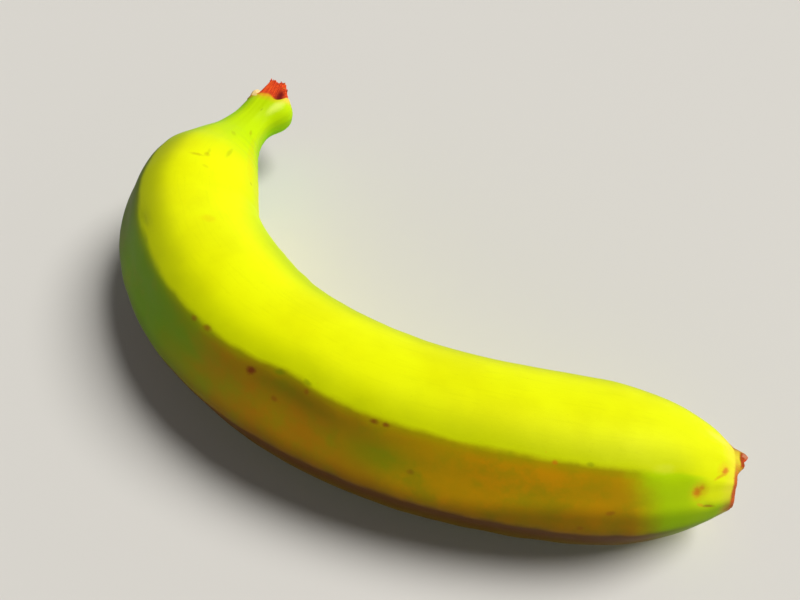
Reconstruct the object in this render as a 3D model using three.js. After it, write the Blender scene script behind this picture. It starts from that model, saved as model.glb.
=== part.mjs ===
// A banana as picked, lying on its side: stem, peel and blossom end are one grown body.
// Millimetres, +Z up. X runs along the chord from the torn stem end to the tip, the bend
// bulges to -Y, and the origin is on the surface, under the middle of the fruit's box.
import * as THREE from 'three';

// ---- driving dimensions: millimetres, degrees ----

// The middle line from the torn stem end, station 0, to the face of the tip.
const LENGTH = 212;

// [station, heading from +X]: a turned stem end, the knee below the stem, then one long bend.
const HEADING = [
  [0, -42], [10, -67], [21, -60], [35, -55], [49, -42], [66, -18.5],
  [90, -2.5], [117, 17], [146, 32], [175, 42], [194, 46], [LENGTH, 40],
];

// [station, half thickness between the crests]: thin stem, quick shoulder, full body, blunt tip.
const GIRTH = [
  [0, 5.9], [3, 5.6], [8, 5.6], [14, 5.9], [21, 7.5], [29, 10.8], [37, 14.2], [47, 16.7], [60, 17.6],
  [83, 18.4], [112, 18], [146, 17.5], [173, 17.1], [190, 15.8], [200, 13.2], [207, 9.9], [LENGTH, 6.5],
];

// [station, height of the round underside]: both ends rise, and below 0 the peel is pressed flat.
const LIFT = [
  [0, 14.6], [12, 13.6], [23, 10.7], [35, 5.3], [47, 1.2], [58, -0.4],
  [97, -0.4], [146, -0.4], [180, -0.4], [194, 0.9], [204, 3.9], [LENGTH, 7.8],
];

// The section, with angles from the outside of the bend, upwards positive.
const ROLL = 7;
const SIDES = 46;
const CRESTS = [
  // column of the crest, rise as a share of the radius, reach of its two flanks in degrees
  { column: 0, rise: 0.072, below: 26, above: 26 },
  { column: 6, rise: 0.075, below: 26, above: 52 },
  { column: 19, rise: 0.043, below: 52, above: 32 },
  { column: 27, rise: 0.043, below: 32, above: 52 },
  { column: 40, rise: 0.072, below: 52, above: 26 },
];
const CREST_ROUNDING = 4;

// The upper shoulder crest wavers: [station, spread along the fruit, degrees].
const WAVERS = [[84, 12, -2.2], [122, 8, 4.6]];
const WAVER_COLUMN = 6;
const WAVER_WIDTH = 45;

// The heel: a knuckle on the inside of the bend, just behind the torn end.
const HEEL = { station: 5.3, length: 3.9, rise: 3.8, width: 52 };

// The torn end is cut shorter on top, with a notch: how deep, how wide, and how far back
// the stem's net yields.
const CUTS = [
  { angle: 88, width: 64, depth: 5.6, length: 15 },
  { angle: 134, width: 16, depth: 2, length: 12 },
];

// On it stands a lump of torn flesh, [angle, height], with a ragged top, [teeth round the
// section, lead, share of the height], and a stump at the outer corner.
const FLESH_START = 60;
const FLESH = [
  [FLESH_START, 0], [73, 0.3], [79, 3.4], [85, 6.4], [90, 7.1], [98, 7.1], [107, 6.6], [117, 6.5],
  [130, 6.9], [145, 6.8], [157, 5], [170, 2.6], [190, 1.4], [230, 0], [FLESH_START + 360, 0],
];
const FLESH_TEETH = [[11, 0.4, 0.03], [17, 2.1, 0.02]];
const FLESH_EDGE = { steep: 0.92, lean: 0.16, from: 105, to: 150 };
const TORN_FLOOR = 0.6;
const STUMP = { angle: 55, reach: 0.86, rise: 2.5, spread: 0.28 };

// The blossom end: a sunken scar with the style's blunt stub in it, a spur at the upper rim with
// a shoulder below it, and a shallow bay in the rim.
const SCAR_DEPTH = 1.1;
const STUB_RISE = 0.5;
const STUB_REACH = 0.34;
const FACE_CROWN = 0.5;
const SPURS = [
  { angle: 116, reach: 0.86, rise: 2.3, spread: 0.24 },
  { angle: 88, reach: 0.94, rise: 1.2, spread: 0.22 },
  { angle: 55, reach: 0.9, rise: -0.5, spread: 0.4 },
];

// Rings: [from, to, step] along the middle line, and the share of the radius on the two ends.
const STRETCHES = [[0, 36, 2.25], [36, 180, 4], [180, LENGTH, 2]];
const STEM_FACE = [0, 0.25, 0.48, 0.68, 0.82, 0.92];
const TIP_FACE = [0.88, 0.66, 0.4, 0.18, 0];

const PEEL = { color: 0xd2d412, roughness: 0.45, metalness: 0 };

// ---- curves along the fruit ----

const along = (pairs) => {
  const curve = new THREE.CubicInterpolant(pairs.map(([s]) => s), pairs.map(([, v]) => v), 1);
  return (station) => curve.evaluate(station)[0];
};
const headingAt = along(HEADING);
const girthAt = along(GIRTH);
const liftAt = along(LIFT);
const fleshAt = along(FLESH);

const MIDDLE_STEP = 0.5;

// The middle line seen from above: the heading summed in short straight steps.
function middleLine() {
  const points = [new THREE.Vector2(0, 0)];
  for (let s = MIDDLE_STEP / 2; s < LENGTH; s += MIDDLE_STEP) {
    const angle = THREE.MathUtils.degToRad(headingAt(s));
    const step = new THREE.Vector2(Math.cos(angle), Math.sin(angle)).multiplyScalar(MIDDLE_STEP);
    points.push(points[points.length - 1].clone().add(step));
  }
  return points;
}
const MIDDLE = middleLine();

function middleAt(station) {
  const place = station / MIDDLE_STEP;
  const i = Math.min(Math.floor(place), MIDDLE.length - 2);
  return MIDDLE[i].clone().lerp(MIDDLE[i + 1], place - i);
}

// ---- the section ----

const bell = (distance, width) => Math.exp(-((distance / width) ** 2));

// The signed turn from one angle to another, between -180 and 180 degrees.
const turnBetween = (from, to) => THREE.MathUtils.euclideanModulo(to - from + 180, 360) - 180;

// The angle of a column at a station: even round the section, but drawn along with the waver.
function columnAngle(column, station) {
  const even = column * 360 / SIDES;
  const waver = WAVERS.reduce((sum, [at, spread, size]) => sum + size * bell(station - at, spread), 0);
  const follow = bell(turnBetween(WAVER_COLUMN * 360 / SIDES, even), WAVER_WIDTH);
  return ROLL + even + waver * follow;
}

// A crest: a rounded edge whose flanks run out hollow into the faces beside it.
function crestRise({ column, rise, below, above }, station, angle) {
  const off = turnBetween(columnAngle(column, station), angle);
  const distance = Math.hypot(off, CREST_ROUNDING) - CREST_ROUNDING;
  const left = Math.max(0, 1 - distance / (off > 0 ? above : below));
  return rise * left ** 2;
}

function sectionRadius(station, angle) {
  const crests = CRESTS.reduce((sum, crest) => sum + crestRise(crest, station, angle), 0);
  const heel = HEEL.rise * bell(turnBetween(180, angle), HEEL.width)
    * bell(station - HEEL.station, HEEL.length);
  return girthAt(station) * (1 + crests) + heel;
}

// ---- the two ends ----

// The station moved back where the torn end is cut shorter, fading out along the stem.
function cutStation(share, station, angle) {
  return CUTS.reduce((place, cut) => {
    const depth = cut.depth * share ** 2 * bell(turnBetween(cut.angle, angle), cut.width);
    return place + depth * Math.max(0, 1 - station / cut.length) ** 2;
  }, station);
}

// A small mound on an end face, at an angle and a share of the radius.
function mound({ angle, reach, rise, spread }, share, at) {
  const turned = THREE.MathUtils.degToRad(turnBetween(angle, at));
  const distance = Math.sqrt(share ** 2 + reach ** 2 - 2 * share * reach * Math.cos(turned));
  return rise * bell(distance, spread);
}

// The torn end: the lump of flesh, steep from the rim and leaning in on the inside of the bend,
// falling to a low rough middle.
function tornRelief(share, angle) {
  const { smoothstep, euclideanModulo, degToRad } = THREE.MathUtils;
  const phase = degToRad(angle);
  const ragged = FLESH_TEETH.reduce((sum, [count, lead, size]) => (
    sum + size * Math.sin(count * phase + lead)), 1);
  const around = FLESH_START + euclideanModulo(angle - FLESH_START, 360);
  const edge = FLESH_EDGE.steep - FLESH_EDGE.lean * smoothstep(around, FLESH_EDGE.from, FLESH_EDGE.to);
  const lump = (1 - smoothstep(share, edge, 1)) * smoothstep(share, 0.1, 0.6);
  const floor = TORN_FLOOR * (1 - share ** 2) * (1 + share * Math.sin(5 * phase));
  return fleshAt(around) * ragged * lump + floor + mound(STUMP, share, angle);
}

// The blossom end: a crowned rim, the sunken scar, the stub in its middle and the spurs.
function scarRelief(share, angle) {
  const crown = FACE_CROWN * (1 - share ** 4);
  const sunken = SCAR_DEPTH * (1 - THREE.MathUtils.smoothstep(share, 0.5, 0.95));
  const outsideStub = THREE.MathUtils.smoothstep(share, 0.5 * STUB_REACH, STUB_REACH);
  const stub = (STUB_RISE + SCAR_DEPTH) * (1 - outsideStub);
  return SPURS.reduce((sum, spur) => sum + mound(spur, share, angle), crown - sunken + stub);
}

// ---- the body ----

// The straight fruit: X is the share of the radius, Y the station along the middle line.
function straightProfile() {
  const points = STEM_FACE.map((share) => new THREE.Vector2(share, 0));
  for (const [from, to, step] of STRETCHES) {
    const count = Math.round((to - from) / step);
    for (let i = 0; i < count; i += 1) points.push(new THREE.Vector2(1, from + (to - from) * i / count));
  }
  points.push(new THREE.Vector2(1, LENGTH));
  TIP_FACE.forEach((share) => points.push(new THREE.Vector2(share, LENGTH)));
  return points;
}

// One point of the peel, from its share of the radius, its station and its column.
function peelPoint(share, station, column) {
  const angle = columnAngle(column, station);
  const cut = cutStation(share, station, angle);
  const radius = share * sectionRadius(cut, angle);
  const round = THREE.MathUtils.degToRad(angle);
  const heading = THREE.MathUtils.degToRad(headingAt(cut));
  const forward = new THREE.Vector2(Math.cos(heading), Math.sin(heading));
  const outward = new THREE.Vector2(forward.y, -forward.x);
  const place = middleAt(cut).addScaledVector(outward, radius * Math.cos(round));
  if (station === 0) place.addScaledVector(forward, -tornRelief(share, angle));
  if (station === LENGTH) place.addScaledVector(forward, scarRelief(share, angle));
  const height = girthAt(cut) + liftAt(cut) + radius * Math.sin(round);
  return new THREE.Vector3(place.x, place.y, Math.max(0, height));
}

// The lathe gives the closed net of rings and columns, which is then bent along the middle line.
// Its columns are counted back, because the section turns the other way round.
function peelGeometry() {
  const geometry = new THREE.LatheGeometry(straightProfile(), SIDES);
  const { position, uv } = geometry.attributes;
  for (let i = 0; i < position.count; i += 1) {
    const share = Math.hypot(position.getX(i), position.getZ(i));
    const point = peelPoint(share, position.getY(i), (1 - uv.getX(i)) * SIDES);
    position.setXYZ(i, point.x, point.y, point.z);
  }
  geometry.computeBoundingBox();
  const { min, max } = geometry.boundingBox;
  geometry.translate(-(min.x + max.x) / 2, -(min.y + max.y) / 2, 0);
  geometry.computeVertexNormals();
  return geometry;
}

const banana = new THREE.Mesh(peelGeometry(), new THREE.MeshStandardMaterial(PEEL));
banana.name = 'banana';

const group = new THREE.Group();
group.add(banana);

export default group;
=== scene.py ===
import math
from types import SimpleNamespace

import bpy
import numpy as np
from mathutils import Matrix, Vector


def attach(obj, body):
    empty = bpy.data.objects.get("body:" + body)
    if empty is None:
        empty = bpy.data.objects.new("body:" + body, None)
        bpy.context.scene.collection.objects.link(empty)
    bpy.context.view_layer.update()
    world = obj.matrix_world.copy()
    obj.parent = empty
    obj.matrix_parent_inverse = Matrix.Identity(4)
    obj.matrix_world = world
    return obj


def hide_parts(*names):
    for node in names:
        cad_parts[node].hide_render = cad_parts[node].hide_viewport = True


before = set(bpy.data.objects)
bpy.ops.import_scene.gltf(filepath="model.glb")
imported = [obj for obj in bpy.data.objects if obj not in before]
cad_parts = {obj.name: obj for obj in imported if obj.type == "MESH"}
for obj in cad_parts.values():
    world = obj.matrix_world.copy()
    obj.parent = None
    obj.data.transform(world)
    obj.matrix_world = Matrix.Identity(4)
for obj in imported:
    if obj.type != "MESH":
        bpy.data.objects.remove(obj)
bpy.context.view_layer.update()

# A banana lying on its side, as picked: the peel with its stem and blossom end, the torn fibres
# on the stem and the dry ones on the tip, with a floor, soft light and a camera.
#
# A place on the peel is (station, turn): millimetres along the middle line from the torn stem end,
# and degrees round the section from the crest on the outside of the bend, upwards positive.
# Formulas work in millimetres, and meshes are made in metres.

MM = 0.001

# ---- driving dimensions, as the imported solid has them: millimetres and degrees ----

LENGTH = 212.0
STEM_END = (-84.167, 30.913)
# Pairs along the middle line: its heading from +X in degrees, the radius between the crests, and
# how high the section's lowest point lies.
HEADING = ((0, -42), (10, -67), (21, -60), (35, -55), (49, -42), (66, -18.5),
           (90, -2.5), (117, 17), (146, 32), (175, 42), (194, 46), (LENGTH, 40))
GIRTH = ((0, 5.9), (3, 5.6), (8, 5.6), (14, 5.9), (21, 7.5), (29, 10.8), (37, 14.2), (47, 16.7),
         (60, 17.6), (83, 18.4), (112, 18), (146, 17.5), (173, 17.1), (190, 15.8), (200, 13.2),
         (207, 9.9), (LENGTH, 6.5))
LIFT = ((0, 14.6), (12, 13.6), (23, 10.7), (35, 5.3), (47, 1.2), (58, -0.4), (97, -0.4),
        (146, -0.4), (180, -0.4), (194, 0.9), (204, 3.9), (LENGTH, 7.8))
ROLL = 7.0
# Crests: turn, rise as a share of the girth, and reach below and above in degrees.
COLUMN = 360 / 46
CRESTS = ((0, 0.072, 26, 26), (6 * COLUMN, 0.075, 26, 52), (19 * COLUMN, 0.043, 52, 32),
          (27 * COLUMN, 0.043, 32, 52), (40 * COLUMN, 0.072, 52, 26))
CREST_ROUNDING = 4.0
SHOULDER = 6 * COLUMN
# Where the shoulder crest wavers: station, spread and size.
WAVERS = ((84, 12, -2.2), (122, 8, 4.6))
WAVER_WIDTH = 45.0
HEEL_STATION, HEEL_LENGTH, HEEL_RISE, HEEL_WIDTH = 5.3, 3.9, 3.8, 52.0
# Where the torn end was cut shorter: angle, width, depth and length along the stem.
CUTS = ((88.0, 64.0, 5.6, 15.0), (134.0, 16.0, 2.0, 12.0))
# Torn flesh: its height at each angle, then the waves of its top as count, lead and size.
FLESH = ((60, 0), (73, 0.3), (79, 3.4), (85, 6.4), (90, 7.1), (98, 7.1), (107, 6.6), (117, 6.5),
         (130, 6.9), (145, 6.8), (157, 5), (170, 2.6), (190, 1.4), (230, 0), (420, 0))
FLESH_TEETH = ((11, 0.4, 0.3), (17, 2.1, 0.2))
TORN_FLOOR = 0.6
# Mounds on the end faces: angle, share of the radius, rise and spread.
STUMP = (55.0, 0.86, 2.5, 0.28)
SCAR_DEPTH, STUB_RISE, STUB_REACH, FACE_CROWN = 1.1, 0.5, 0.34, 0.5
SPURS = ((116.0, 0.86, 2.3, 0.24), (88.0, 0.94, 1.2, 0.22), (55.0, 0.9, -0.5, 0.4))

# The finer net of the shown peel.
COLUMNS = 230
STRETCHES = ((0, 36, 0.5), (36, 180, 0.8), (180, LENGTH, 0.5))
STEM_FACE_ROWS = 40
TIP_FACE_ROWS = 26
FACE_BAND = 0.1


# ---- curves and waves ----

def along(pairs, station):
    """Smooth curve through (station, value) pairs: a cubic on each stretch, whose slope at a pair
    is the mean of the slopes of the two stretches that meet there."""
    places, values = np.array(pairs, dtype=float).T
    rises = np.diff(values) / np.diff(places)
    slopes = np.concatenate([rises[:1], (rises[1:] + rises[:-1]) / 2, rises[-1:]])
    i = np.clip(np.searchsorted(places, station, side="right") - 1, 0, len(places) - 2)
    gap = places[i + 1] - places[i]
    t = (station - places[i]) / gap
    start = values[i] * (1 + 2 * t) * (1 - t) ** 2 + slopes[i] * gap * t * (1 - t) ** 2
    return start + values[i + 1] * t**2 * (3 - 2 * t) + slopes[i + 1] * gap * t**2 * (t - 1)


def bell(distance, width):
    """1 at no distance, falling as exp(-(distance / width) squared)."""
    return np.exp(-((distance / width) ** 2))


def smooth(value, low, high):
    """0 up to low, 1 from high, and the cubic 3t^2 - 2t^3 between; low may be the larger."""
    t = np.clip((value - low) / (high - low), 0, 1)
    return t**2 * (3 - 2 * t)


def turn_between(start, end):
    """The signed turn from one angle to another, between -180 and 180 degrees."""
    return (end - start + 180) % 360 - 180


def ripples(station, turn, seed, length, lobes, count=14):
    """A sum of seeded cosine waves with a spread of 1: each runs along the fruit with a period
    near length and round it a whole number of times, up to lobes, so it closes on itself."""
    draw = np.random.default_rng(seed)
    total = np.zeros(np.broadcast(station, turn).shape)
    for _ in range(count):
        period = length * draw.uniform(0.7, 1.7) * draw.choice((-1, 1))
        waves = draw.integers(0, lobes + 1)
        total += np.cos(2 * np.pi * station / period + np.radians(waves * turn) + draw.uniform(0, 6.3))
    return total * math.sqrt(2 / count)


# ---- the body ----

def section_angle(station, turn):
    """Angle from the outside of the bend: the turn, rolled, and drawn along with the shoulder
    crest where that wavers."""
    waver = sum(size * bell(station - at, spread) for at, spread, size in WAVERS)
    return ROLL + turn + waver * bell(turn_between(SHOULDER, turn), WAVER_WIDTH)


def section_radius(station, turn):
    """Girth times one plus the five crests, each (1 - distance / reach) squared, plus the heel."""
    angle = section_angle(station, turn)
    crests = 0
    for crest_turn, rise, below, above in CRESTS:
        off = turn_between(section_angle(station, crest_turn), angle)
        distance = np.hypot(off, CREST_ROUNDING) - CREST_ROUNDING
        crests = crests + rise * np.clip(1 - distance / np.where(off > 0, above, below), 0, None) ** 2
    heel = bell(turn_between(180, angle), HEEL_WIDTH) * bell(station - HEEL_STATION, HEEL_LENGTH)
    return along(GIRTH, station) * (1 + crests) + HEEL_RISE * heel


def skin_relief(station, turn):
    """Fine rise of the skin: slow lumps on the faces, a nicked line on the crests, ribs along the
    stem, folds in the knee and puckers that close in on the blossom end."""
    lumps = 0.08 * ripples(station, turn, 11, 40, 5) + 0.02 * ripples(station, turn, 12, 13, 9)
    near_crest = sum(bell(turn_between(crest[0], turn), 6) for crest in CRESTS)
    nicks = 0.045 * near_crest * ripples(station, turn, 13, 8, 3)
    stem = 1 - smooth(station, 14, 46)
    ribs = stem * (0.06 * np.cos(np.radians(9 * turn) + station / 19)
                   + 0.025 * np.cos(np.radians(23 * turn) - station / 11))
    knee = bell(station - 27, 9) * bell(turn_between(185, turn), 55)
    folds = 0.16 * knee * np.cos(2 * np.pi * station / 3.4 + 0.8 * np.cos(np.radians(3 * turn)))
    tip = smooth(station, 196, 210)
    puckers = tip * (0.07 * np.cos(np.radians(11 * turn) + station / 5)
                     + 0.04 * np.cos(np.radians(23 * turn) - station / 7))
    return (lumps + nicks) * smooth(station, 16, 44) * (1 - 0.6 * tip) + ribs + folds + puckers


# Scars: station, turn, half length, half width, lean in degrees, depth.
SUNKEN = (
    (208.2, 58, 1.6, 0.8, 70, 0.2), (206.5, 49, 1.4, 0.6, 42, 0.08), (201.9, 33, 1.2, 1.6, 10, 0.25),
    (202.8, 38, 0.8, 1.0, 30, 0.15), (205.0, 17, 1.8, 0.7, -25, 0.2), (66.4, 52, 3.2, 1.1, 8, 0.3),
    (114.4, 40, 1.3, 0.9, 30, 0.2), (119.9, 46, 1.0, 0.7, 20, 0.2), (102.1, 47.5, 1.2, 0.7, 0, 0.15),
)


def dents(station, turn):
    """Sunken scars: an oval bell for each, its long axis turned from the fruit's own."""
    total = 0
    for mark in SUNKEN:
        at, at_turn, long, wide, lean, depth = mark
        ahead = station - at
        across = np.radians(turn_between(at_turn, turn)) * along(GIRTH, at)
        lean = math.radians(lean)
        u = (ahead * math.cos(lean) + across * math.sin(lean)) / long
        v = (across * math.cos(lean) - ahead * math.sin(lean)) / wide
        total = total - depth * np.exp(-(u**2 + v**2))
    return total


# ---- the two ends ----

def mound(shape, share, turn):
    """A bell-shaped rise on an end face, at a turn and a share of the radius."""
    at_turn, reach, rise, spread = shape
    apart = np.radians(turn_between(at_turn, turn))
    distance = np.sqrt(share**2 + reach**2 - 2 * share * reach * np.cos(apart))
    return rise * bell(distance, spread)


def torn_relief(share, turn):
    """The torn stem end: a lump of torn flesh over its upper and inner part, whose height round the
    section follows FLESH, steep from the rim and falling to a low rough middle, with a ragged top,
    and a stump at the outer corner."""
    angle = (ROLL + turn - 60) % 360 + 60
    phase = np.radians(angle)
    height = along(FLESH, angle)
    ragged = sum(size * np.sin(count * phase + lead) for count, lead, size in FLESH_TEETH)
    fibres = 0.3 * np.sin(34 * phase + 9 * share) + 0.2 * np.sin(55 * phase - 13 * share)
    edge = 0.92 - 0.16 * smooth(angle, 105, 150)
    lump = smooth(share, 1, edge) * smooth(share, 0.1, 0.6)
    floor = TORN_FLOOR * (1 - share**2) * (1 + share * np.sin(5 * phase))
    pits = 0.18 * share * (1 - share) * (np.sin(17 * phase + 9 * share) + np.sin(23 * phase - 14 * share))
    flesh = height * (1 + 0.1 * (ragged + fibres)) * lump
    return flesh + floor + pits + mound(STUMP, share, angle)


def scar_relief(share, turn):
    """The blossom end: a crowned rim, the sunken scar, the blunt stub in its middle, the spur above
    and radial creases."""
    angle = ROLL + turn
    crown = FACE_CROWN * (1 - share**4)
    sunken = SCAR_DEPTH * (1 - smooth(share, 0.5, 0.95))
    stub = (STUB_RISE + SCAR_DEPTH) * (1 - smooth(share, 0.5 * STUB_REACH, STUB_REACH))
    phase = np.radians(angle)
    creases = 0.22 * share * (1 - share) * (np.sin(12 * phase + 4 * share) + np.sin(31 * phase - 6 * share))
    spurs = sum(mound(shape, share, angle) for shape in SPURS)
    return crown - sunken + stub + creases + spurs


# ---- the peel ----

MIDDLE_STEP = 0.5


def middle_line():
    """The middle line seen from above: the heading summed in short straight steps."""
    heading = np.radians(along(HEADING, np.arange(MIDDLE_STEP / 2, LENGTH, MIDDLE_STEP)))
    steps = np.stack([np.cos(heading), np.sin(heading)], axis=1) * MIDDLE_STEP
    return np.concatenate([np.zeros((1, 2)), np.cumsum(steps, axis=0)])


MIDDLE = middle_line()


def end_cut(share, station, turn):
    """The station moved back where the torn end was cut shorter, fading out along the stem."""
    place = station
    for at_turn, width, depth, length in CUTS:
        depth = depth * share**2 * bell(turn_between(at_turn, ROLL + turn), width)
        place = place + depth * np.clip(1 - station / length, 0, None) ** 2
    return place


def skin_points(share, station, turn):
    """Points on the fruit: the middle line, plus the section's radius outward and up, plus the
    relief of the end faces along the fruit; nothing is lower than the surface it lies on."""
    place = end_cut(share, station, turn)
    radius = share * (section_radius(place, turn) + skin_relief(place, turn) + dents(place, turn))
    heading = np.radians(along(HEADING, place))
    angle = np.radians(section_angle(place, turn))
    spot = place / MIDDLE_STEP
    i = np.clip(spot.astype(int), 0, len(MIDDLE) - 2)
    centre = MIDDLE[i] + (MIDDLE[i + 1] - MIDDLE[i]) * (spot - i)[..., None]
    torn = np.where(station == 0, torn_relief(share, turn), 0)
    scar = np.where(station == LENGTH, scar_relief(share, turn), 0)
    push = scar - torn
    x = centre[..., 0] + np.sin(heading) * radius * np.cos(angle) + np.cos(heading) * push
    y = centre[..., 1] - np.cos(heading) * radius * np.cos(angle) + np.sin(heading) * push
    z = along(GIRTH, place) + along(LIFT, place) + radius * np.sin(angle)
    return np.stack([x, y, np.maximum(z, 0)], axis=-1)


def peel_rows():
    """Share of the radius and station of each ring, from the torn face over the body to the tip."""
    stem = np.linspace(0, 1, STEM_FACE_ROWS + 1)[:-1]
    tip = np.linspace(1, 0, TIP_FACE_ROWS + 1)[1:]
    body = [np.linspace(a, b, round((b - a) / step), endpoint=False) for a, b, step in STRETCHES]
    body = np.concatenate([*body, [LENGTH]])
    share = np.concatenate([stem, np.ones(len(body)), tip])
    station = np.concatenate([np.zeros(len(stem)), body, np.full(len(tip), LENGTH)])
    return share, station


def in_place(points):
    """Millimetres of the formulas, which start at the stem end, to metres of the frame."""
    return (points + np.array([*STEM_END, 0])) * MM


def solid_mesh(name, points, faces, uv=None):
    """One mesh object from an array of points and an array or list of faces."""
    mesh = bpy.data.meshes.new(name)
    mesh.from_pydata(points.tolist(), [], faces)
    if uv is not None:
        layer = mesh.uv_layers.new(name="skin")
        layer.data.foreach_set("uv", np.asarray(uv, dtype=np.float32).ravel())
    mesh.polygons.foreach_set("use_smooth", np.ones(len(mesh.polygons), bool))
    mesh.update()
    piece = bpy.data.objects.new(name, mesh)
    bpy.context.scene.collection.objects.link(piece)
    return piece


def ring_quads(first, rings, count):
    """Quads between rings of count points each, the first ring starting at the point first."""
    step = np.arange(count)
    beside = (step + 1) % count
    start = first + count * np.arange(rings - 1)[:, None]
    above = start + count
    return np.stack([start + step, start + beside, above + beside, above + step], axis=-1).reshape(-1, 4)


def corner_uv(*corners):
    """UV values of faces that have these corners, each given as the u and the v of all the faces."""
    places = [np.stack(np.broadcast_arrays(u, v), axis=-1) for u, v in corners]
    return np.stack(places, axis=-2).reshape(-1, 2)


def peel():
    """The whole skin as one closed net of rings and columns. Its UV map is turn / 360 across and
    station / LENGTH up, and runs on past 0 and 1 over the two end faces."""
    share, station = peel_rows()
    turn = np.arange(COLUMNS) * 360 / COLUMNS
    grid_share, grid_turn = np.meshgrid(share, turn, indexing="ij")
    points = in_place(skin_points(grid_share, station[:, None] + 0 * turn, grid_turn))
    points = np.concatenate([points[:1, 0], points[1:-1].reshape(-1, 3), points[-1:, 0]])

    column = np.arange(COLUMNS)
    beside = (column + 1) % COLUMNS
    last = len(points) - 1
    edge = last - COLUMNS
    quads = ring_quads(1, len(share) - 2, COLUMNS)
    stem_fan = np.stack([0 * column, 1 + beside, 1 + column], axis=-1)
    tip_fan = np.stack([edge + column, edge + beside, last + 0 * column], axis=-1)

    up = np.where(station == 0, -(1 - share) * FACE_BAND, station / LENGTH)
    up = np.where(station == LENGTH, 1 + (1 - share) * FACE_BAND, up)
    left, right = column / COLUMNS, (column + 1) / COLUMNS
    middle = (left + right) / 2
    low, high = up[1:-2, None], up[2:-1, None]
    uv = np.concatenate([
        corner_uv((left, low), (right, low), (right, high), (left, high)),
        corner_uv((middle, up[0]), (right, up[1]), (left, up[1])),
        corner_uv((left, up[-2]), (right, up[-2]), (middle, up[-1])),
    ])
    return solid_mesh("peel", points, quads.tolist() + stem_fan.tolist() + tip_fan.tolist(), uv)


# ---- torn and dry fibres ----

STRAND_SIDES = 6
STRAND_RINGS = 7


def strands(name, root, aim, bend, length, width, flat):
    """Many tapered fibres as one mesh: each runs from its root along aim, drawn aside by bend times
    the square of the way, with an oval section that narrows as 1 - way squared to a closed tip."""
    count = len(root)
    way = np.linspace(0, 1, STRAND_RINGS)[None, :, None]
    line = root[:, None] + length[:, None, None] * (aim[:, None] * way + bend[:, None] * way**2)
    wide = np.cross(aim, bend + np.array([0.02, 0.03, 0.05]))
    wide /= np.linalg.norm(wide, axis=1, keepdims=True)
    thick = np.cross(aim, wide)
    spin = np.arange(STRAND_SIDES) * 2 * np.pi / STRAND_SIDES
    oval = (wide[:, None] * np.cos(spin)[None, :, None]
            + thick[:, None] * np.sin(spin)[None, :, None] * flat[:, None, None])
    narrow = (width / 2)[:, None, None, None] * (1 - 0.94 * way[..., None] ** 2)
    rings = line[:, :, None] + oval[:, None] * narrow
    ends = np.stack([line[:, 0], line[:, -1] + aim * 0.05], axis=1)
    points = np.concatenate([rings.reshape(count, -1, 3), ends], axis=1)

    side = np.arange(STRAND_SIDES)
    beside = (side + 1) % STRAND_SIDES
    base = STRAND_SIDES * STRAND_RINGS
    top = base - STRAND_SIDES
    quads = ring_quads(0, STRAND_RINGS, STRAND_SIDES)
    roots = np.stack([base + 0 * side, beside, side], axis=-1)
    tips = np.stack([top + side, top + beside, base + 1 + 0 * side], axis=-1)
    first = (base + 2) * np.arange(count)[:, None, None]
    faces = []
    for part in (quads, roots, tips):
        faces += (part + first).reshape(-1, part.shape[1]).tolist()
    return solid_mesh(name, in_place(points.reshape(-1, 3)), faces)


def end_frame(station):
    """Forward, outward and up at a station, as unit vectors."""
    heading = np.radians(along(HEADING, np.array(station)))
    forward = np.array([np.cos(heading), np.sin(heading), 0.0])
    return forward, np.array([forward[1], -forward[0], 0.0]), np.array([0.0, 0.0, 1.0])


def torn_fibres(count=150):
    """Short stiff fibres standing out of the lump of torn flesh."""
    draw = np.random.default_rng(41)
    forward, outward, up = end_frame(0)
    turn = draw.uniform(84, 176, count) - ROLL
    share = draw.uniform(0.38, 0.9, count)
    root = skin_points(share, np.zeros(count), turn)
    angle = np.radians(turn + ROLL)
    radial = outward * np.cos(angle)[:, None] + up * np.sin(angle)[:, None]
    aim = -forward + radial * draw.normal(0.12, 0.2, (count, 1)) + draw.normal(0, 0.16, (count, 3))
    aim /= np.linalg.norm(aim, axis=1, keepdims=True)
    length = draw.uniform(0.15, 0.6, count)
    bend = draw.normal(0, 0.22, (count, 3))
    sunk = root - aim * 0.45
    return strands("torn_fibres", sunk, aim, bend, length + 0.45, draw.uniform(0.3, 0.75, count),
                   draw.uniform(0.4, 0.9, count))


def tip_fibres(count=90):
    """The dry remains of the flower: short bristles on the stub and round the sunken scar."""
    draw = np.random.default_rng(42)
    forward, outward, up = end_frame(LENGTH)
    turn = draw.uniform(0, 360, count)
    share = np.sqrt(draw.uniform(0.0, 0.36, count))
    root = skin_points(share, np.full(count, LENGTH), turn)
    angle = np.radians(turn + ROLL)
    radial = outward * np.cos(angle)[:, None] + up * np.sin(angle)[:, None]
    aim = forward + radial * draw.normal(0.1, 0.35, (count, 1)) + draw.normal(0, 0.25, (count, 3))
    aim /= np.linalg.norm(aim, axis=1, keepdims=True)
    length = draw.uniform(0.2, 0.45, count)
    sunk = root - aim * 0.3
    return strands("tip_fibres", sunk, aim, draw.normal(0, 0.3, (count, 3)), length + 0.3,
                   draw.uniform(0.22, 0.5, count), draw.uniform(0.4, 0.9, count))


# ---- materials ----

def paint(red, green, blue):
    """A colour given as screen values from 0 to 255, as the linear colour that shaders use."""
    values = np.array([red, green, blue]) / 255
    linear = np.where(values <= 0.04045, values / 12.92, ((values + 0.055) / 1.055) ** 2.4)
    return (*linear.tolist(), 1.0)


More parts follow.
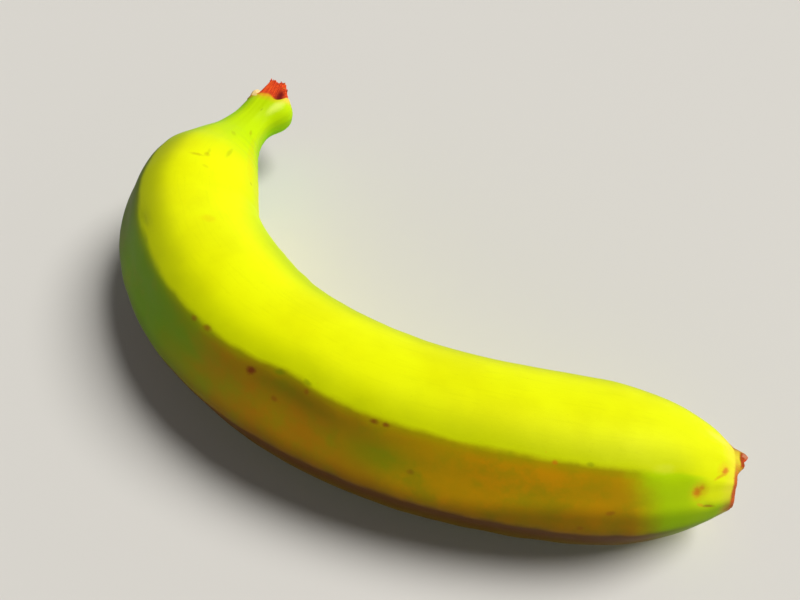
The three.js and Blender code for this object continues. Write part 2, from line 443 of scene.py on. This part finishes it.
class Signal:
    """A number, vector or colour on its way through a material. Sums and products of signals and
    plain numbers add Math nodes."""

    def __init__(self, finish, socket):
        self.finish = finish
        self.socket = socket

    def math(self, operation, *values):
        return self.finish.math(operation, *values)

    def __add__(self, other):
        return self.math("ADD", self, other)

    def __sub__(self, other):
        return self.math("SUBTRACT", self, other)

    def __rsub__(self, other):
        return self.math("SUBTRACT", other, self)

    def __mul__(self, other):
        return self.math("MULTIPLY", self, other)

    def __truediv__(self, other):
        return self.math("DIVIDE", self, other)

    def __neg__(self):
        return self.math("MULTIPLY", self, -1)

    def __abs__(self):
        return self.math("ABSOLUTE", self)

    __radd__ = __add__
    __rmul__ = __mul__

    def clamped(self):
        return self.math("MINIMUM", self.math("MAXIMUM", self, 0), 1)


class Finish:
    """A material in the making."""

    def __init__(self, name):
        self.material = bpy.data.materials.new(name)
        self.material.use_nodes = True
        self.tree = self.material.node_tree
        self.tree.nodes.clear()

    def node(self, kind, settings=None, inputs=None, output=0):
        """Adds one node, with its settings first, then values or links for its sockets, and gives
        one of its outputs."""
        node = self.tree.nodes.new(kind)
        for name, value in (settings or {}).items():
            setattr(node, name, value)
        for key, value in (inputs or {}).items():
            socket = node.inputs[key]
            if isinstance(value, Signal):
                self.tree.links.new(value.socket, socket)
            else:
                socket.default_value = value
        return Signal(self, node.outputs[output])

    def math(self, operation, *values):
        return self.node("ShaderNodeMath", {"operation": operation}, dict(enumerate(values)))

    def parts(self, vector):
        """The three numbers of a vector."""
        first = self.node("ShaderNodeSeparateXYZ", None, {0: vector})
        return [Signal(self, output) for output in first.socket.node.outputs]

    def vector(self, x=0.0, y=0.0, z=0.0):
        return self.node("ShaderNodeCombineXYZ", None, {0: x, 1: y, 2: z})

    def mix(self, amount, first, second):
        """The first colour where amount is 0 and the second where it is 1."""
        settings = {"data_type": "RGBA", "clamp_factor": True}
        return self.node("ShaderNodeMix", settings, {0: amount, 6: first, 7: second}, 2)

    def smooth(self, value, low, high):
        """0 on the low side, 1 on the high side and a smooth step between; low may be the larger."""
        settings = {"interpolation_type": "SMOOTHSTEP"}
        inputs = {"Value": value, "From Min": min(low, high), "From Max": max(low, high)}
        step = self.node("ShaderNodeMapRange", settings, inputs)
        return step if low < high else 1 - step

    def bell(self, value, centre, width):
        off = (value - centre) / width
        return self.node("ShaderNodeMath", {"operation": "EXPONENT"}, {0: -(off * off)})

    def noise(self, vector, scale, detail=2.0, roughness=0.5):
        inputs = {"Vector": vector, "Scale": scale, "Detail": detail, "Roughness": roughness}
        return self.node("ShaderNodeTexNoise", None, inputs)

    def flecks(self, vector, scale, size):
        """Round flecks about the centres of random cells: 1 in a fleck, 0 between."""
        cells = self.node("ShaderNodeTexVoronoi", {"feature": "F1"}, {"Vector": vector, "Scale": scale})
        return self.smooth(cells, size, size * 0.4)

    def bump(self, height, strength, distance):
        inputs = {"Strength": strength, "Distance": distance, "Height": height}
        return self.node("ShaderNodeBump", None, inputs)

    def done(self, **sockets):
        """Ends in one Principled shader, whose sockets are named with _ for a space."""
        named = {name.replace("_", " "): value for name, value in sockets.items()}
        shader = self.node("ShaderNodeBsdfPrincipled", None, named)
        end = self.tree.nodes.new("ShaderNodeOutputMaterial")
        self.tree.links.new(shader.socket, end.inputs["Surface"])
        return self.material


# The radius of a tube round which the skin's noise is wrapped, and the millimetres of skin that one
# degree of turn has on it.
TUBE = 17.6
SKIN_MM = TUBE * math.tau / 360


def skin_places(finish):
    """The peel's own coordinates, and the noises that break its colours up. station and turn are as
    in the formulas, with turn from -180 to 180; torn and scar are the way onto the torn face and
    onto the tip's face, from 0 at the rim to 1 in the middle; flat is a flat map of the skin and
    tube a seamless one, both in millimetres; frayed is the turn with an uneven edge."""
    across, up = finish.parts(finish.node("ShaderNodeUVMap", {"uv_map": "skin"}))[:2]
    at = SimpleNamespace()
    at.station = up * LENGTH
    at.turn = (across - finish.math("GREATER_THAN", across, 0.5)) * 360
    at.torn = (-up / FACE_BAND).clamped()
    at.scar = ((up - 1) / FACE_BAND).clamped()
    at.flat = finish.vector(at.station, at.turn * SKIN_MM)
    round_x = finish.math("COSINE", across * math.tau) * TUBE
    round_y = finish.math("SINE", across * math.tau) * TUBE
    at.tube = finish.vector(at.station, round_x, round_y)
    at.blotch = finish.noise(at.tube, 0.055, 3, 0.55)
    at.mottle = finish.noise(at.tube, 0.16, 4, 0.6)
    at.grain = finish.noise(at.tube, 1.4, 3, 0.6)
    at.fine = finish.noise(at.tube, 4.2, 2, 0.5)
    at.streak = finish.noise(finish.vector(at.station * 0.12, round_x, round_y), 0.42, 3, 0.6)
    at.veins = finish.noise(finish.vector(at.station * 0.09, round_x, round_y), 1.3, 3, 0.55)
    at.wobble = (at.grain - 0.5) * 1.1
    at.frayed = at.turn + (at.streak - 0.5) * 5 + (at.mottle - 0.5) * 5
    return at


# Colours of the skin.
LEMON = paint(228, 236, 2)
LEMON_DEEP = paint(222, 224, 0)
CITRON = paint(182, 194, 0)
LIME = paint(178, 214, 2)
LEAF = paint(132, 206, 0)
OLIVE = paint(106, 148, 8)
OLIVE_DARK = paint(78, 92, 8)
RUSSET = paint(176, 120, 6)
OCHRE = paint(184, 140, 0)
AMBER = paint(206, 142, 0)
MOSS = paint(132, 140, 2)
STRAW = paint(170, 202, 0)
CROWN = paint(222, 226, 6)
FERN = paint(104, 140, 0)
KHAKI = paint(98, 76, 6)
UMBER_SKIN = paint(86, 52, 6)
TAN = paint(214, 156, 20)
SIENNA = paint(196, 112, 14)
BROWN = paint(134, 74, 14)
MAROON = paint(116, 44, 14)
DARK = paint(84, 44, 14)
GREEN_STAIN = paint(112, 124, 6)
# Pale sheen for painted highlights.
PAINTED_SHEEN = paint(240, 248, 120)

# Colours of the torn and the dry ends.
CLAY = paint(190, 88, 36)
RUST = paint(236, 88, 32)
BLOOD = paint(176, 44, 24)
WINE = paint(104, 18, 18)
CREAM = paint(240, 214, 150)
BUFF = paint(222, 164, 30)
PEACH = paint(242, 196, 84)
ROSE = paint(188, 118, 88)
UMBER = paint(74, 46, 30)
SOOT = paint(36, 24, 18)

# Marks on the skin: station, turn, half length, half width, lean in degrees, colour, strength.
# The pale sheen marks are painted highlights, on the stem and near the tip.
MARKS = (
    (98.4, 46.5, 0.6, 0.5, 0, BROWN, 0.6), (102.1, 47.5, 0.9, 0.5, 10, BROWN, 0.7),
    (114.4, 40.0, 0.9, 0.7, 30, MAROON, 0.85), (120.6, 29.0, 0.6, 0.5, 0, BROWN, 0.5),
    (119.9, 46.0, 0.9, 0.5, 15, GREEN_STAIN, 0.7), (126.4, 44.0, 0.5, 0.5, 0, BROWN, 0.6),
    (125.9, 49.0, 0.8, 0.4, 0, GREEN_STAIN, 0.5), (124.6, -4.0, 0.6, 0.5, 0, DARK, 0.6),
    (140.3, 46.0, 0.7, 0.4, 0, MAROON, 0.7), (142.6, 46.5, 0.6, 0.4, 0, MAROON, 0.7),
    (148.6, 20.5, 0.6, 0.5, 0, BROWN, 0.5), (173.5, 47.5, 0.5, 0.4, 0, SIENNA, 0.7),
    (180.0, 49.0, 0.6, 0.4, 0, GREEN_STAIN, 0.4), (184.8, 16.0, 0.8, 0.5, 20, BROWN, 0.5),
    (179.8, 4.0, 0.5, 0.4, 0, BROWN, 0.4), (46.1, 91.0, 1.7, 0.5, 86, BROWN, 0.3),
    (45.0, 99.5, 0.9, 0.7, 30, BROWN, 0.3), (43.4, 100.0, 1.3, 0.4, 0, GREEN_STAIN, 0.2),
    (39.4, 118.0, 2.7, 0.6, -8, GREEN_STAIN, 0.3), (50.4, 101.5, 0.9, 0.5, 60, BROWN, 0.15),
    (74.4, 96.0, 1.6, 1.2, 30, TAN, 0.2), (66.4, 52.0, 2.8, 0.5, 8, GREEN_STAIN, 0.3),
    (20.7, 131.5, 1.3, 0.8, 40, BROWN, 0.3), (27.5, 108.0, 1.4, 0.8, 60, GREEN_STAIN, 0.25),
    (46.0, 147.5, 0.7, 0.4, 0, GREEN_STAIN, 0.35), (33.0, 145.0, 11.0, 1.7, 0, TAN, 0.18),
    (9.4, 113.5, 0.7, 0.6, 0, GREEN_STAIN, 0.35), (5.4, 135.0, 3.6, 2.4, -20, PAINTED_SHEEN, 0.45),
    (194.2, 51.0, 2.0, 0.9, 10, PAINTED_SHEEN, 0.07), (207.6, 102.0, 2.6, 1.6, 20, PAINTED_SHEEN, 0.25),
    (207.8, 60.0, 2.4, 1.2, 70, TAN, 0.35), (208.2, 57.8, 1.5, 0.6, 70, SIENNA, 0.95),
    (206.5, 49.2, 1.3, 0.35, 42, SIENNA, 0.5), (202.2, 34.0, 1.9, 2.3, 0, TAN, 0.45),
    (201.8, 33.0, 0.9, 1.3, 10, SIENNA, 0.85), (202.8, 37.5, 0.5, 0.7, 30, SIENNA, 0.6),
    (203.2, 19.3, 1.0, 0.4, -37, TAN, 0.6), (205.2, 16.2, 1.3, 0.4, -19, BROWN, 0.7),
)


def marked(finish, at, colour):
    """Lays each mark over the colour: an oval with a frayed soft edge, at its place on the flat
    skin."""
    for station, turn, long, wide, lean, tone, strength in MARKS:
        centre = (-station, -turn * SKIN_MM, 0)
        moved = finish.node("ShaderNodeVectorMath", {"operation": "ADD"}, {0: at.flat, 1: centre})
        if lean:
            inputs = {"Vector": moved, "Angle": -math.radians(lean)}
            moved = finish.node("ShaderNodeVectorRotate", {"rotation_type": "Z_AXIS"}, inputs)
        sizes = (1 / long, 1 / wide, 0)
        sized = finish.node("ShaderNodeVectorMath", {"operation": "MULTIPLY"}, {0: moved, 1: sizes})
        far = finish.node("ShaderNodeVectorMath", {"operation": "LENGTH"}, {0: sized}, "Value")
        colour = finish.mix(finish.smooth(far + at.wobble, 1.7, 0.3) * strength, colour, tone)
    return colour


def upper_skin(finish, at):
    """Lemon all over, greener along the inner edge, towards the tip and in the slow blotches. Along the
    shoulder crest it is greener and darker, partly the skin's own green and partly painted shade, and
    the shoulder of the knee is mossy with painted shade."""
    station, turn = at.station, at.turn
    outer = finish.smooth(turn, -140, -60)
    # Painted shade, partly the skin's own green: greener and darker along the shoulder crest.
    shoulder = finish.smooth(turn, 76, 50) * outer * (0.7 - finish.smooth(station, 194, 206) * 0.5)
    green = finish.smooth(at.mottle + at.blotch, 0.8, 1.3) * 0.12
    green = green + shoulder + finish.smooth(station, 184, 200) * 0.14
    # Painted shade: the shoulder of the knee, before station 104, is mossy.
    knee = finish.smooth(station, 104, 62) * finish.smooth(turn, 82, 58) * outer
    colour = finish.mix(finish.smooth(at.blotch, 0.35, 0.7) * 0.6, LEMON, LEMON_DEEP)
    colour = finish.mix(green, colour, CITRON)
    rim = finish.bell(turn + station * 0.35, 172, 16) * finish.bell(station, 75, 40)
    colour = finish.mix(rim * 0.55, colour, LIME)
    colour = finish.mix(knee * 0.5, colour, MOSS)
    return finish.mix(finish.smooth(at.veins, 0.52, 0.7) * 0.08, colour, CITRON)


def side_skin(finish, at):
    """The face between the lower and the shoulder crest, painted darker than the upper skin: painted shade
    over the skin's own patches. Olive by the knee, then russet and ochre with amber and mossy patches,
    straw near the tip, with more painted shade by the knee, under the shoulder crest and towards the
    lower crest."""
    station, turn, mottle, blotch = at.station, at.turn, at.mottle, at.blotch
    way = station + (blotch - 0.5) * 44 + (mottle - 0.5) * 16
    colour = finish.mix(finish.smooth(way, 130, 152), RUSSET, OCHRE)
    colour = finish.mix(finish.smooth(way, 84, 120), OLIVE, colour)
    amber = finish.smooth(mottle * 0.5 + blotch * 1.2, 0.76, 1.0) * finish.smooth(way, 124, 150)
    colour = finish.mix(amber * 0.85, colour, AMBER)

    moss = finish.smooth(mottle - (blotch - 0.5) * 0.5, 0.58, 0.28) * 0.45
    moss = moss + finish.bell(station, 142, 8) * finish.bell(turn, 25, 14) * 0.8
    colour = finish.mix(moss.clamped(), colour, MOSS)
    colour = finish.mix(finish.smooth(at.frayed, 40, 48) * 0.6, colour, MOSS)
    # Painted shade: darker olive by the knee and in a patch under the shoulder crest near station 124.
    shade = finish.bell(station, 124, 14) * finish.bell(turn, 39, 8) * 0.6
    shade = shade + finish.smooth(station, 72, 54) * 0.75
    colour = finish.mix(shade, colour, OLIVE_DARK)

    tip = finish.smooth(station + (mottle - 0.5) * 6 + (turn - 30) * 0.1, 186, 195)
    crown = finish.smooth(station, 199, 206) * finish.smooth(turn, 0, 30)
    colour = finish.mix(tip, colour, STRAW)
    colour = finish.mix(crown * 0.8, colour, CROWN)
    # Painted shade: darker towards the lower crest, fern green near the tip.
    late = finish.smooth(station, 150, 180)
    lower_crest_shade = finish.smooth(turn - late * 12, 12, -3) * (0.6 + tip * 0.15)
    deep = finish.mix(tip, finish.mix(finish.smooth(way, 96, 118), OLIVE_DARK, UMBER_SKIN), FERN)
    return finish.mix(lower_crest_shade, colour, deep)


def skin_colour(finish, at):
    """The upper skin, with the side face below the shoulder crest. Under the lower crest lies painted
    shade, umber that turns to khaki and moss further down; the inner side has fern-green painted shade, and
    lime to leaf green on the stem."""
    station, turn = at.station, at.turn
    # The side face is painted darker than the upper skin: painted shade over the skin's own patches.
    face = finish.smooth(at.frayed, 51.5, 46) * finish.smooth(turn + (at.blotch - 0.5) * 30, -90, -35)
    colour = finish.mix(face * 0.97, upper_skin(finish, at), side_skin(finish, at))

    # Painted shade under the lower crest: umber, then khaki and moss further down.
    low = turn + (at.mottle - 0.5) * 20
    shadowed = finish.mix(finish.smooth(low, -12, -42), UMBER_SKIN, KHAKI)
    shadowed = finish.mix(finish.smooth(low, -36, -72) * 0.8, shadowed, MOSS)
    below = finish.smooth(low, -100, -64) * finish.smooth(at.frayed, 1, -5)
    ends = finish.smooth(station, 40, 70) * finish.smooth(station, 210, 186)
    colour = finish.mix(below * ends, colour, shadowed)
    # Painted shade: the inner side, from station 55 on, is greener and darker with fern.
    inner = finish.smooth(turn, 112, 140) * finish.smooth(turn, 174, 148)
    colour = finish.mix(inner * finish.smooth(station, 55, 110) * 0.35, colour, FERN)

    stem = finish.smooth(station + (at.mottle - 0.5) * 10, 46, 22)
    off = abs(turn - 116)
    shaded = finish.smooth(finish.math("MINIMUM", off, 360 - off), 36, 88)
    return finish.mix(stem * 0.9, colour, finish.mix(shaded, LIME, LEAF))


def blossom_end(finish, at, colour, flesh):
    """A peach collar, a brown lower corner and a clay rim round the dry scar; the spur keeps its skin
    nearly to its torn edge, which is burnt, with red flesh inside it and one rosy bead."""
    station, turn, scar, wobble = at.station, at.turn, at.scar, at.wobble
    collar = finish.smooth(station + (at.mottle - 0.5) * 5, 207, 212)
    colour = finish.mix(collar * 0.35, colour, PEACH)
    corner = finish.smooth(station + wobble * 2, 207.5, 211) * finish.bell(turn, 3, 13)
    colour = finish.mix(corner * 0.8, colour, BROWN)

    spur = finish.bell(turn, 92, 24)
    near = finish.bell(turn, 42, 36)
    rim = finish.smooth(station + wobble * 0.6 + near * 0.7, 210.9, 211.6) * (1 - spur * 0.8)
    clay = finish.mix(finish.smooth(at.grain + near * 0.2, 0.4, 0.7), BROWN, CLAY)
    colour = finish.mix(rim, colour, clay)
    dried = finish.mix(finish.smooth(at.fine + at.grain, 0.8, 1.25), SOOT, UMBER)
    colour = finish.mix(finish.smooth(scar + wobble * 0.16, 0.02, 0.17), colour, dried)

    red = finish.smooth(scar, 0.36, 0.24) * finish.smooth(scar + wobble * 0.02, 0.015, 0.05)
    colour = finish.mix((red * spur * 1.4).clamped(), colour, flesh)
    ragged = finish.smooth(station + wobble * 0.1, 211.68, 211.84) * finish.smooth(spur, 0.4, 0.7)
    burnt = finish.mix(finish.smooth(at.fine, 0.4, 0.65), BROWN, BLOOD)
    colour = finish.mix(ragged * finish.smooth(scar, 0.06, 0.03), colour, burnt)
    bead = finish.smooth(station, 211.84, 211.94) * finish.smooth(scar, 0.12, 0.07)
    return finish.mix(bead * finish.smooth(finish.bell(turn, 103, 6), 0.45, 0.8), colour, ROSE)


def stem_end(finish, at, colour, flesh):
    """The skin's last millimetres, umber, brown and buff on the outer side with a cream corner and
    buff and peach on the inner one, then the torn face: a pale lip, red flesh, a dry low part, wine-red
    painted shade in the hollow and the cream stump."""
    station, turn, torn, wobble = at.station, at.turn, at.torn, at.wobble
    dusky = finish.smooth(station + (at.mottle - 0.5) * 8, 16, 4) * finish.smooth(turn, 62, 44)
    colour = finish.mix(dusky * finish.smooth(turn, -30, 0) * 0.6, colour, UMBER_SKIN)
    edge = finish.smooth(station + wobble * 1.6, 5.4, 2.4) * finish.smooth(turn, 62, 50)
    edge = edge * finish.smooth(turn, -110, -40)
    tan = finish.mix(finish.smooth(at.grain, 0.4, 0.6), BROWN, BUFF)
    colour = finish.mix(edge * 0.85, colour, tan)
    corner = finish.smooth(station + wobble * 0.4, 1.5, 0.5)
    colour = finish.mix(corner * finish.smooth(finish.bell(turn, 57, 13), 0.3, 0.6), colour, CREAM)
    line = finish.smooth(station + wobble * 1.2, 5, 0.5) * finish.bell(turn, 100, 50)
    colour = finish.mix(line * 0.5, colour, BUFF)
    line = finish.smooth(station + wobble, 4, 0.8) * finish.bell(turn, 150, 11)
    colour = finish.mix(line * 0.8, colour, PEACH)

    face = finish.smooth(torn, 0.0, 0.01)
    lip = finish.mix(finish.smooth(turn, 132, 146), BUFF, PEACH)
    colour = finish.mix(finish.smooth(torn, 0.0, 0.006), colour, lip)
    colour = finish.mix(finish.smooth(torn + wobble * 0.01, 0.012, 0.03), colour, flesh)
    heart = finish.smooth(torn + wobble * 0.2, 0.3, 0.75) * 0.75
    low = finish.smooth(turn, 74, 44) * finish.smooth(turn, -178, -140) * finish.smooth(torn, 0.02, 0.1)
    dry = finish.mix(finish.smooth(at.fine * 0.6 + at.grain * 0.4, 0.4, 0.62), UMBER, CLAY)
    colour = finish.mix(finish.math("MAXIMUM", heart, low * 0.8), colour, dry)
    # Painted shade: dark wine red in the hollow of the torn flesh.
    hollow = finish.bell(turn, 130, 11) * finish.smooth(torn, 0.16, 0.07) * face
    colour = finish.mix(hollow.clamped(), colour, WINE)
    stump = finish.bell(torn, 0.14, 0.18) * finish.bell(turn, 48, 21) * face
    return finish.mix(finish.smooth(stump, 0.25, 0.5), colour, CREAM)


def peel_material():
    """Matt waxy skin with faint flecks, the marks and the two ends, and a low bump of its grain."""
    finish = Finish("banana_peel")
    at = skin_places(finish)
    flecks = finish.flecks(at.tube, 0.32, 0.07) * finish.smooth(at.mottle, 0.5, 0.6)
    flesh = finish.mix(finish.smooth(at.grain * 0.6 + at.fine * 0.4, 0.38, 0.62), BLOOD, RUST)
    colour = finish.mix(flecks * 0.3, skin_colour(finish, at), TAN)
    colour = marked(finish, at, colour)
    colour = blossom_end(finish, at, colour, flesh)
    colour = stem_end(finish, at, colour, flesh)

    raw = ((at.torn + at.scar) * 12).clamped()
    roughness = 0.52 + (at.mottle - 0.5) * 0.16 + raw * 0.3
    ribbed = at.streak * (0.5 + finish.smooth(at.station, 50, 20))
    height = at.fine * 0.35 + at.grain * 0.5 + ribbed + raw * at.fine * 3
    return finish.done(Base_Color=colour, Roughness=roughness, Normal=finish.bump(height, 0.35, 0.00012),
                       IOR=1.3, Specular_IOR_Level=0.12)


def fibre_material(name, dark, bright, tip_tone):
    """Dry torn fibre: two tones broken up along each strand, paler where noise is high."""
    finish = Finish(name)
    place = finish.node("ShaderNodeTexCoord", None, None, "Object")
    spots = finish.noise(place, 1400, 3, 0.6)
    patches = finish.noise(place, 420, 2, 0.5)
    colour = finish.mix(finish.smooth(spots, 0.38, 0.62), dark, bright)
    colour = finish.mix(finish.smooth(patches, 0.56, 0.68) * 0.8, colour, tip_tone)
    colour = finish.mix(finish.smooth(patches, 0.46, 0.34) * 0.7, colour, UMBER)
    return finish.done(Base_Color=colour, Roughness=0.78, Normal=finish.bump(spots, 0.5, 0.00015),
                       Specular_IOR_Level=0.2)


def floor_material():
    """Pale and plain under the fruit. Further out it takes no light, and glows as bright as the
    floor near the fruit does, so that it has no dark far edge."""
    finish = Finish("pale_floor")
    place = finish.node("ShaderNodeTexCoord", None, None, "Object")
    x, y = finish.parts(place)[:2]
    away = finish.math("SQRT", x * x + y * y)
    far = finish.smooth(away, 0.5, 1.5)
    pale = finish.mix(far, paint(208, 206, 202), paint(0, 0, 0))
    glow = finish.mix(far, paint(0, 0, 0), paint(206, 204, 199))
    return finish.done(Base_Color=pale, Roughness=0.7, Specular_IOR_Level=0.2, Emission_Color=glow,
                       Emission_Strength=1.0)


# ---- floor, light and camera ----

AZIMUTH, ELEVATION, DISTANCE = 51.0, 49.0, 0.2203
AIM = (-0.0087, 0.0222, 0.0)
FLOOR_START, FLOOR_FLAT, FLOOR_REACH, FLOOR_RISE = 0.2, 0.8, 4.0, 0.18
FLOOR_RINGS, FLOOR_SPOKES = 58, 72
FLOOR_DROP = 1e-4


def floor():
    """A round floor that is flat out to FLOOR_FLAT, and from there rises slowly into a backdrop all
    round: FLOOR_RISE times the square of the way past the flat."""
    spoke = np.arange(FLOOR_SPOKES)
    spin = spoke * math.tau / FLOOR_SPOKES
    reach = np.linspace(FLOOR_START, FLOOR_REACH, FLOOR_RINGS)[:, None]
    rise = FLOOR_RISE * np.clip(reach - FLOOR_FLAT, 0, None) ** 2 + 0 * spin
    rings = np.stack([reach * np.cos(spin), reach * np.sin(spin), rise], axis=-1).reshape(-1, 3)
    points = np.concatenate([[[0, 0, 0]], rings]) - [0, 0, FLOOR_DROP]
    middle = np.stack([0 * spoke, 1 + spoke, 1 + (spoke + 1) % FLOOR_SPOKES], axis=-1)
    quads = ring_quads(1, FLOOR_RINGS, FLOOR_SPOKES)[:, ::-1]
    return solid_mesh("floor", points, middle.tolist() + quads.tolist())


def lamp(name, kind, place, power, colour):
    """A lamp that looks at the origin from its place."""
    light = bpy.data.lights.new(name, kind)
    light.energy = power
    light.color = colour
    stand = bpy.data.objects.new(name, light)
    stand.location = place
    stand.rotation_euler = (-Vector(place)).to_track_quat("-Z", "Y").to_euler()
    bpy.context.scene.collection.objects.link(stand)
    return light


def soft_light():
    """A broad key from above on the hollow side of the bend, and a dim pale sky over the backdrop."""
    key = lamp("key", "SUN", (0.3, 0.53, 0.92), 3.6, (1.0, 0.985, 0.95))
    key.angle = math.radians(32)
    world = bpy.data.worlds.new("sky")
    world.use_nodes = True
    sky = world.node_tree.nodes["Background"]
    sky.inputs["Color"].default_value = (0.93, 0.95, 1.0, 1)
    sky.inputs["Strength"].default_value = 0.04
    bpy.context.scene.world = world


def camera():
    """Looks down on the fruit at AZIMUTH round it and ELEVATION above the floor."""
    turn, rise = math.radians(AZIMUTH), math.radians(ELEVATION)
    back = Vector((math.sin(turn) * math.cos(rise), -math.cos(turn) * math.cos(rise), math.sin(rise)))
    data = bpy.data.cameras.new("camera")
    data.sensor_fit = "HORIZONTAL"
    data.sensor_width = 36
    data.lens = 36
    data.clip_start = 0.01
    eye = bpy.data.objects.new("camera", data)
    eye.location = Vector(AIM) + back * DISTANCE
    eye.rotation_mode = "QUATERNION"
    eye.rotation_quaternion = (-back).to_track_quat("-Z", "Y")
    bpy.context.scene.collection.objects.link(eye)
    bpy.context.scene.camera = eye


# ---- the scene ----

camera()
soft_light()
bpy.context.scene.view_settings.view_transform = "Standard"

ground = floor()
ground.data.materials.append(floor_material())

skin = peel()
skin.data.materials.append(peel_material())
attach(skin, "root")
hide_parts("banana")

for piece, finish in (
    (torn_fibres(), fibre_material("torn_fibre", BLOOD, RUST, BUFF)),
    (tip_fibres(), fibre_material("dry_fibre", SOOT, UMBER, BROWN)),
):
    piece.data.materials.append(finish)
    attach(piece, "root")
